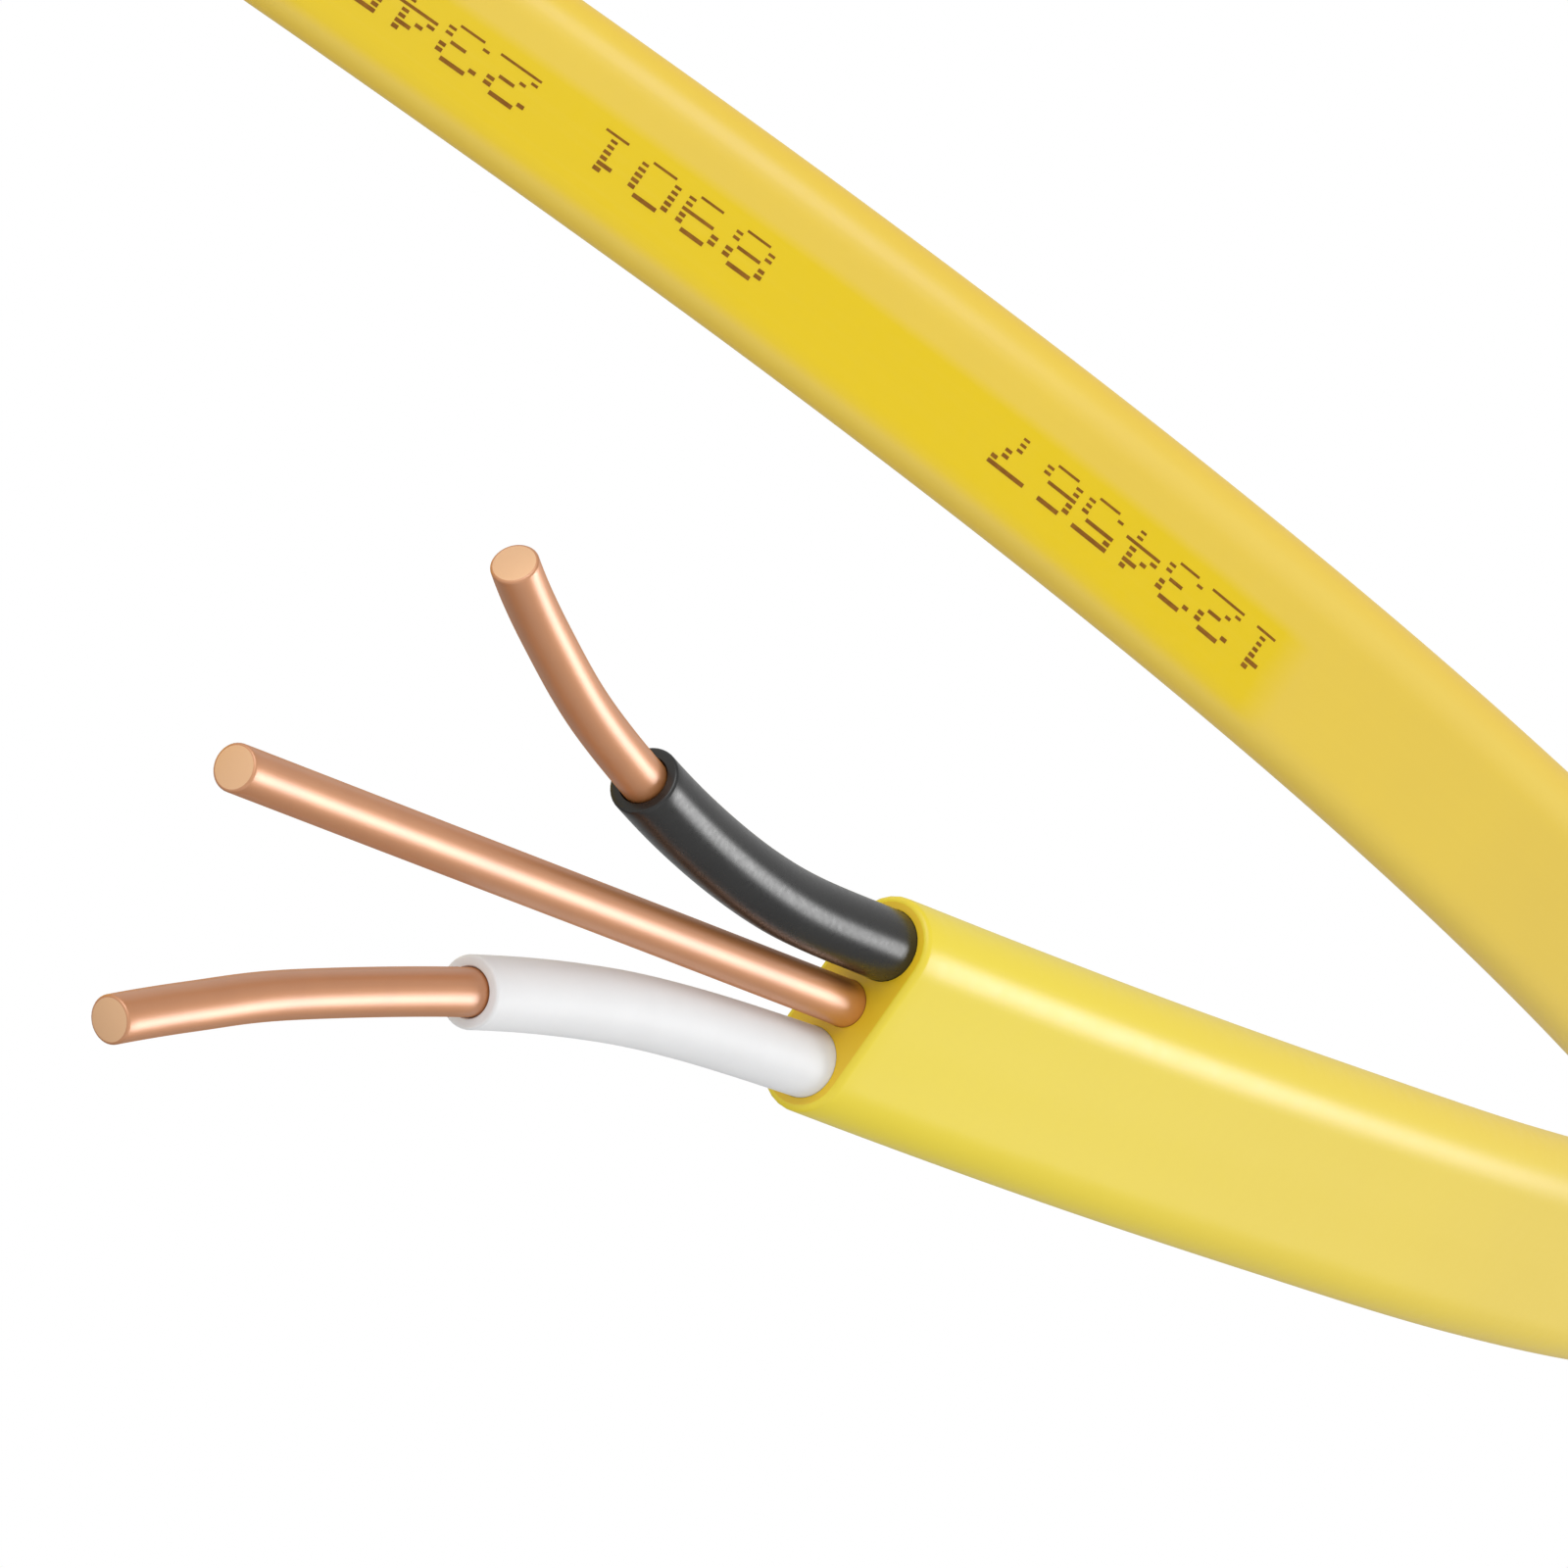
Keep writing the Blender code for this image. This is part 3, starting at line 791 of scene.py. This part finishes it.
# Colours of the materials
JACKET_COLOUR = (0.79, 0.585, 0.068, 1.0)
JACKET_CLOUD_COLOUR = (0.77, 0.565, 0.072, 1.0)
JACKET_BAND_COLOUR = (0.765, 0.56, 0.004, 1.0)
JACKET_STREAK_COLOUR = (0.82, 0.63, 0.085, 1.0)
# Painted shade: the deeper ochre of the jacket's rounded edges, where they turn from the light
JACKET_EDGE_SHADE_COLOUR = (0.81, 0.53, 0.012, 1.0)
JACKET_NEAR_CUT_COLOUR = (0.775, 0.635, 0.018, 1.0)
# Painted shade: the darker ochre of the jacket's cut end faces
JACKET_CUT_FACE_SHADE_COLOUR = (0.75, 0.50, 0.012, 1.0)
JACKET_GLOSS_TINT = (0.55, 0.6, 1.0, 1.0)
BLACK_COLOUR = linear(27, 27, 26)
BLACK_SMUDGE_COLOUR = linear(22, 22, 22)
WHITE_COLOUR = (0.74, 0.74, 0.745, 1.0)
WHITE_SMUDGE_COLOUR = (0.72, 0.72, 0.725, 1.0)
COPPER_COLOUR = (0.62, 0.228, 0.042, 1.0)
COPPER_TARNISH_COLOUR = (0.58, 0.207, 0.035, 1.0)
# Paler sheared tips: fresh metal, with painted reflection in the colour
COPPER_TIP_AND_REFLECTION_COLOUR = (0.84, 0.47, 0.20, 1.0)
NYLON_COLOUR = linear(226, 224, 214)
NYLON_CLOUD_COLOUR = linear(214, 211, 200)
INK_COLOUR = linear(126, 78, 12)
INK_WORN_COLOUR = linear(144, 95, 20)

# Where the jacket's painted edge shade and its greener tone by the cut begin and end, from the
# rounded edge and from the cut
EDGE_SHADE_FULL = 0.4 * MM
EDGE_SHADE_GONE = 2.2 * MM
NEAR_CUT_FULL = 5.0 * MM
NEAR_CUT_GONE = 90.0 * MM

# The wave texture's own scale that gives one wave for each unit
ONE_WAVE = 2 * math.pi / 20


def end_face(nodes, around):
    """One on the end faces that a loft marks, and zero elsewhere."""
    return nodes.ranged(around, -END_FACE_UV / 2, 0.0, 1.0, 0.0)


def yellow_jacket():
    """Glossy PVC, greener near the cut, deeper along the printed band, with painted shade along the
    rounded edges and on the cut end faces.
    """
    n = Nodes("yellow_jacket_pvc")
    streaks = n.noise(n.scaled_uv(25.0, 2600.0), scale=1.0, detail=3.0)
    cloud = n.noise(n.place(), scale=90.0, detail=2.0)
    grain = n.noise(n.place(), scale=5200.0, detail=2.0)
    dust = n.noise(n.place(), scale=1500.0, detail=4.0)
    along, around = n.along_around()
    base = n.blend(n.ranged(cloud, 0.3, 0.7), JACKET_COLOUR, JACKET_CLOUD_COLOUR)
    band = n.ranged(along, PRINT_BAND_START - PRINT_BAND_START_SOFTNESS,
                    PRINT_BAND_START + PRINT_BAND_START_SOFTNESS)
    for limit, inwards in ((PRINT_BAND_LOW, PRINT_BAND_SOFTNESS),
                           (PRINT_BAND_HIGH, -PRINT_BAND_SOFTNESS)):
        band = n.combine("MULTIPLY", band, n.ranged(around, limit - inwards, limit + inwards))
    base = n.blend(band, base, JACKET_BAND_COLOUR)
    base = n.blend(n.ranged(streaks, 0.5, 0.85, 0.0, 0.12), base, JACKET_STREAK_COLOUR)
    past_edge = n.combine("SUBTRACT", around, FIRST_EDGE_AROUND)
    off_edge = n.combine("PINGPONG", past_edge, HALF_WAY_ROUND / 2)
    # Painted shade: a deeper ochre on the rounded edges, where less light falls on them
    painted_edge_shade = n.ranged(off_edge, EDGE_SHADE_FULL, EDGE_SHADE_GONE, 0.85, 0.0)
    base = n.blend(painted_edge_shade, base, JACKET_EDGE_SHADE_COLOUR)
    # A greener tone over the first 90 mm from the cut, laid over the painted edge shade so that
    # little of that shade shows there
    near_cut = n.ranged(along, NEAR_CUT_FULL, NEAR_CUT_GONE, 0.8, 0.0)
    base = n.blend(near_cut, base, JACKET_NEAR_CUT_COLOUR)
    # Painted shade: the end faces get a darker ochre, where less light reaches them
    base = n.blend(end_face(n, around), base, JACKET_CUT_FACE_SHADE_COLOUR)
    n.set(Base_Color=base, Roughness=n.ranged(dust, 0.3, 0.7, 0.33, 0.39), IOR=1.58,
          Specular_Tint=JACKET_GLOSS_TINT)
    relief = n.bump(streaks, distance=0.003 * MM, strength=0.3)
    n.set(Normal=n.bump(grain, distance=0.003 * MM, strength=0.2, normal=relief))
    return n.material


def wire_plastic(name, colour, smudge_colour, roughness):
    n = Nodes(name)
    streaks = n.noise(n.scaled_uv(60.0, 3500.0), scale=1.0, detail=3.0)
    grain = n.noise(n.place(), scale=4200.0, detail=3.0)
    smudge = n.noise(n.place(), scale=420.0, detail=3.0)
    base = n.blend(n.ranged(smudge, 0.35, 0.7), smudge_colour, colour)
    n.set(Base_Color=base, Roughness=n.ranged(grain, 0.3, 0.7, roughness, roughness + 0.08))
    relief = n.bump(streaks, distance=0.004 * MM, strength=0.25)
    n.set(Normal=n.bump(grain, distance=0.002 * MM, strength=0.06, normal=relief))
    return n


def black_pvc():
    n = wire_plastic("black_wire_pvc", BLACK_COLOUR, BLACK_SMUDGE_COLOUR, roughness=0.26)
    n.set(IOR=1.54)
    return n.material


def white_pvc():
    n = wire_plastic("white_wire_pvc", WHITE_COLOUR, WHITE_SMUDGE_COLOUR, roughness=0.5)
    n.set(IOR=1.34, Subsurface_Weight=0.15, Subsurface_Scale=0.6 * MM,
          Subsurface_Radius=(0.6, 0.55, 0.5))
    return n.material


def bare_copper():
    """Drawn copper with a pale sheen, paler on its sheared tips: fresh metal, with painted reflection
    in that colour.
    """
    n = Nodes("drawn_copper")
    lines = n.noise(n.scaled_uv(30.0, 7000.0), scale=1.0, detail=4.0, roughness=0.6)
    tarnish = n.noise(n.place(), scale=300.0, detail=3.0)
    around = n.along_around()[1]
    facing = n.add("LayerWeight", {"Blend": 0.5}).outputs["Facing"]
    base = n.blend(n.ranged(tarnish, 0.35, 0.7), COPPER_COLOUR, COPPER_TARNISH_COLOUR)
    # The sheared tips are paler: fresh metal, with painted reflection in the colour
    base = n.blend(end_face(n, around), base, COPPER_TIP_AND_REFLECTION_COLOUR)
    n.set(Base_Color=base, Metallic=0.75, Roughness=n.ranged(tarnish, 0.3, 0.7, 0.54, 0.6))
    n.set(Coat_Weight=n.ranged(facing, 0.7, 0.95, 1.0, 0.1), Coat_Roughness=0.41, Coat_IOR=2.3)
    n.set(Normal=n.bump(lines, distance=0.004 * MM, strength=0.6))
    return n.material


def tie_nylon():
    """Natural nylon with shallow ribs across the straps."""
    n = Nodes("natural_nylon")
    cloud = n.noise(n.place(), scale=300.0, detail=3.0)
    grain = n.noise(n.place(), scale=3500.0, detail=3.0)
    base = n.blend(cloud, NYLON_COLOUR, NYLON_CLOUD_COLOUR)
    n.set(Base_Color=base, Roughness=n.ranged(grain, 0.3, 0.7, 0.38, 0.5))
    along_ribs = n.scaled_uv(1.0 / TIE_RIB_PITCH, 0.0)
    ribs = n.add("TexWave", {"Vector": along_ribs, "Scale": ONE_WAVE, "Distortion": 0.0},
                 wave_profile="SAW").outputs["Fac"]
    relief = n.bump(ribs, distance=0.08 * MM, strength=0.6)
    n.set(Normal=n.bump(grain, distance=0.02 * MM, strength=0.5, normal=relief),
          Subsurface_Weight=0.2, Subsurface_Scale=1.0 * MM)
    return n.material


def brown_ink():
    n = Nodes("brown_print_ink")
    worn = n.noise(n.place(), scale=1800.0, detail=4.0)
    base = n.blend(n.ranged(worn, 0.35, 0.7), INK_COLOUR, INK_WORN_COLOUR)
    n.set(Base_Color=base, Roughness=0.6, IOR=1.35)
    return n.material


def set_camera():
    data = bpy.data.cameras.new("photographer")
    data.lens = CAMERA_LENS
    data.sensor_width = CAMERA_SENSOR_WIDTH
    data.clip_end = CAMERA_REACH
    camera = bpy.data.objects.new("photographer", data)
    bpy.context.scene.collection.objects.link(camera)
    facing = (CAMERA_AIM - CAMERA_PLACE).to_track_quat("-Z", "Y").to_matrix().to_4x4()
    roll = Matrix.Rotation(math.radians(CAMERA_ROLL), 4, "Z")
    camera.matrix_world = Matrix.Translation(CAMERA_PLACE) @ facing @ roll
    bpy.context.scene.camera = camera


def make_floor():
    """A white sweep that only the camera sees; the light comes from the tent all round.

    It isn't sampled as a light either, which would only make the picture noisier.
    """
    shape = bmesh.new()
    bmesh.ops.create_grid(shape, x_segments=1, y_segments=1, size=FLOOR_HALF_SIZE)
    material = bpy.data.materials.new("white_floor")
    material.use_nodes = True
    tree = material.node_tree
    tree.nodes.clear()
    seen = tree.nodes.new("ShaderNodeEmission")
    out = tree.nodes.new("ShaderNodeOutputMaterial")
    tree.links.new(seen.outputs[0], out.inputs["Surface"])
    material.cycles.emission_sampling = "NONE"
    floor = finish_object("floor", shape, material)
    floor.location.z = -FLOOR_DROP
    floor.visible_diffuse = False
    floor.visible_glossy = False
    floor.visible_transmission = False
    floor.visible_shadow = False


def set_world():
    """A tent of broad soft lights with two softboxes in it, plain white to the camera."""
    world = bpy.data.worlds.new("tent")
    world.use_nodes = True
    bpy.context.scene.world = world
    tree = world.node_tree
    tree.nodes.clear()
    way = tree.nodes.new("ShaderNodeTexCoord").outputs["Generated"]

    def towards(direction, start, full, amount):
        """Light that grows as the direction looked in nears the given one, by its cosine."""
        dot = tree.nodes.new("ShaderNodeVectorMath")
        dot.operation = "DOT_PRODUCT"
        tree.links.new(way, dot.inputs[0])
        dot.inputs[1].default_value = Vector(direction).normalized()
        grow = tree.nodes.new("ShaderNodeMapRange")
        grow.interpolation_type = "SMOOTHSTEP"
        tree.links.new(dot.outputs["Value"], grow.inputs["Value"])
        for name, value in (("From Min", start), ("From Max", full), ("To Min", 0.0),
                            ("To Max", amount)):
            grow.inputs[name].default_value = value
        return grow.outputs["Result"]

    total = None
    for light in TENT_LIGHTS:
        part = towards(*light)
        if total is None:
            total = part
            continue
        add = tree.nodes.new("ShaderNodeMath")
        tree.links.new(total, add.inputs[0])
        tree.links.new(part, add.inputs[1])
        total = add.outputs[0]
    path = tree.nodes.new("ShaderNodeLightPath")
    dimmed = tree.nodes.new("ShaderNodeMath")
    dimmed.operation = "MULTIPLY_ADD"
    tree.links.new(path.outputs["Is Glossy Ray"], dimmed.inputs[0])
    dimmed.inputs[1].default_value = -REFLECTED_DIMMING
    tree.links.new(total, dimmed.inputs[2])
    pick = tree.nodes.new("ShaderNodeMix")
    pick.inputs[3].default_value = 1.0
    back = tree.nodes.new("ShaderNodeBackground")
    out = tree.nodes.new("ShaderNodeOutputWorld")
    tree.links.new(path.outputs["Is Camera Ray"], pick.inputs[0])
    tree.links.new(dimmed.outputs[0], pick.inputs[2])
    tree.links.new(pick.outputs[0], back.inputs["Strength"])
    tree.links.new(back.outputs[0], out.inputs["Surface"])


def build():
    yellow = yellow_jacket()
    copper = bare_copper()
    set_camera()

    route = tail_route()
    path = smooth_curve(route, TAIL_STEP)
    ups = tail_ups(path)
    cut = cut_frame(route, ups[0])
    tail = make_tail(path, ups, yellow)
    cut_sockets(tail, cut)
    wound_route = wound_path()
    tail_length = lengths_along(path)[-1]
    wound = make_wound(wound_route, tail_length, yellow)
    black, white = black_pvc(), white_pvc()
    for piece in make_core_ends(wound_route, copper, black, white):
        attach(piece, "root")

    black_path = wire_path(cut, WIRE_SPACING, BLACK_BEND)
    white_path = wire_path(cut, -WIRE_SPACING, WHITE_BEND)
    ground_path = wire_path(cut, 0.0, GROUND_BEND)
    wires = {
        "black_wire_copper": make_wire("black_wire_bare_end", black_path, copper, cut),
        "white_wire_copper": make_wire("white_wire_bare_end", white_path, copper, cut),
        "ground_wire_copper": make_wire("ground_wire_bare", ground_path, copper, cut),
        "black_insulation": make_insulation("black_wire_cover", black_path,
                                            BLACK_INSULATION_LENGTH, black, cut),
        "white_insulation": make_insulation("white_wire_cover", white_path,
                                            WHITE_INSULATION_LENGTH, white, cut),
    }
    for node, piece in wires.items():
        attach(piece, "root")
        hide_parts(node)
    for piece, node in ((tail, "tail_jacket"), (wound, "cable_coil")):
        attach(piece, "root")
        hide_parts(node)

    ink = make_print(path, ups, brown_ink())
    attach(ink, "root")

    print("cable length", round(tail_length + lengths_along(wound_route)[-1], 3))

    nylon = tie_nylon()
    for index, degrees in enumerate(TIE_ANGLES):
        tie = make_tie(index + 1, degrees, index == TIE_ROUND_TAIL, nylon)
        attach(tie, "root")
        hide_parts(f"coil_tie_{index + 1}")

    make_floor()
    set_world()
    bpy.context.scene.view_settings.view_transform = "Standard"


build()
